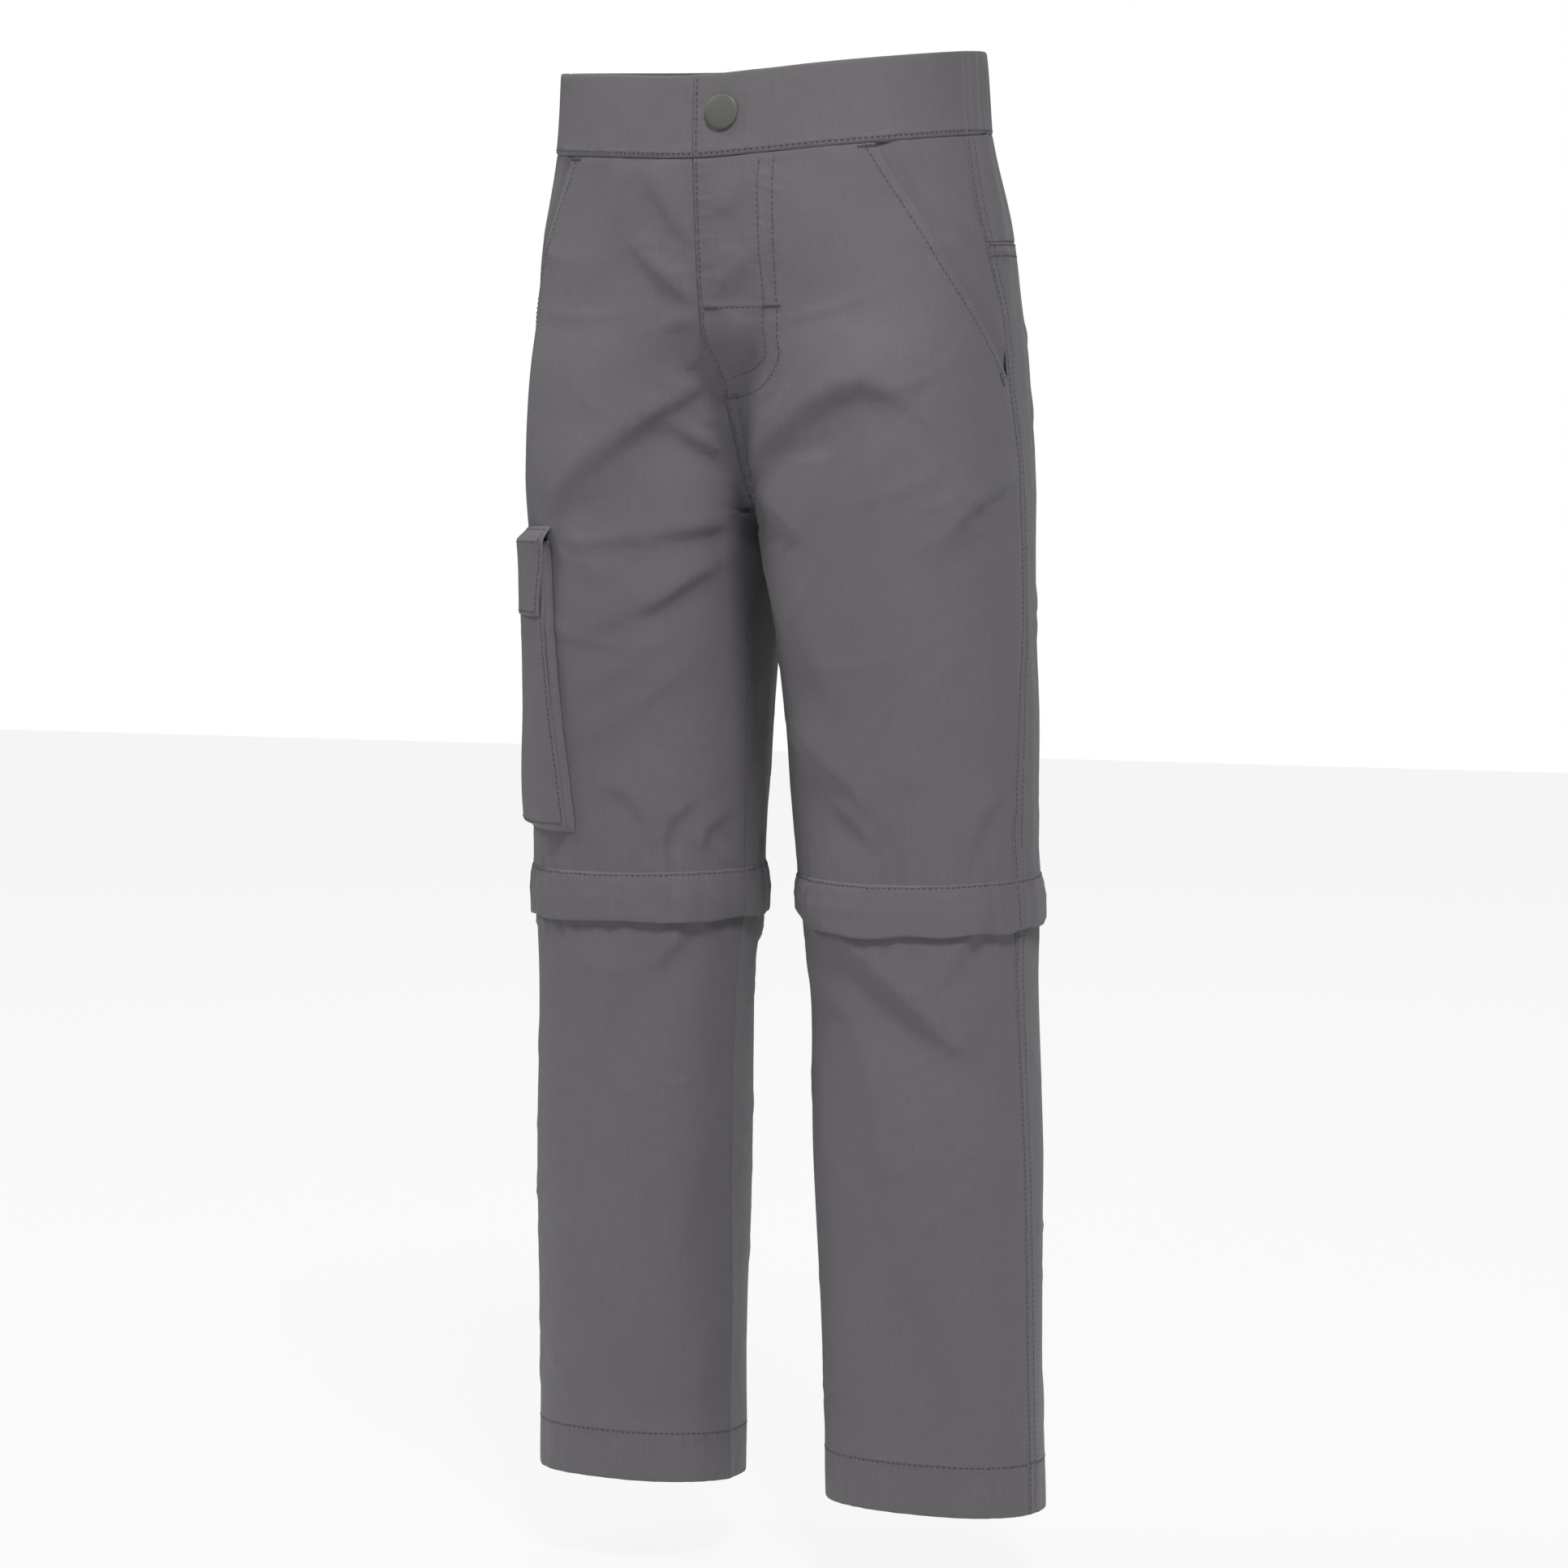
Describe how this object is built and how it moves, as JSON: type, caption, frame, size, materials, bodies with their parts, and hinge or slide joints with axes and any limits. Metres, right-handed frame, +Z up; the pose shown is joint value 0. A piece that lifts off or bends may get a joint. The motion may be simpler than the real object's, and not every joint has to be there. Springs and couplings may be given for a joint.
{
  "type": "convertible zip-off trousers",
  "caption": "Child's zip-off trousers in plain woven cloth, filled out as worn: snapped waistband, lapped fly, slanted hip pockets, cargo pocket, covered knee zips.",
  "frame": {"origin": "centre of the waist opening, level with the waistband's top edge at the sides, where the garment is worn", "axes": "+Z up, the legs hang towards -Z; the front faces -Y; the wearer's left side is at +X"},
  "size_m": [0.262, 0.179, 0.6909],
  "materials": {
    "cloth": "plain woven grey cloth with a very low sheen",
    "zip": "dark woven zip tape with a moulded chain",
    "snap": "matte grey-green paint on a domed cap"
  },
  "bodies": {
    "root": {"waistband_front_left": "cloth", "waistband_front_right": "cloth", "waistband_back": "cloth", "front_left": "cloth", "front_right": "cloth", "pocket_facing_left": "cloth", "pocket_facing_right": "cloth", "yoke_left": "cloth", "yoke_right": "cloth", "back_left": "cloth", "back_right": "cloth", "cargo_bag": "cloth", "cargo_gusset": "cloth", "cargo_flap": "cloth", "knee_band_left": "cloth", "knee_band_right": "cloth", "lower_front_left": "cloth", "lower_front_right": "cloth", "lower_back_left": "cloth", "lower_back_right": "cloth", "hem_left": "cloth", "hem_right": "cloth", "fly_zip": "zip", "knee_zip_left": "zip", "knee_zip_right": "zip", "snap_cap": "snap", "snap_stud": "snap"}
  },
  "joints": []
}
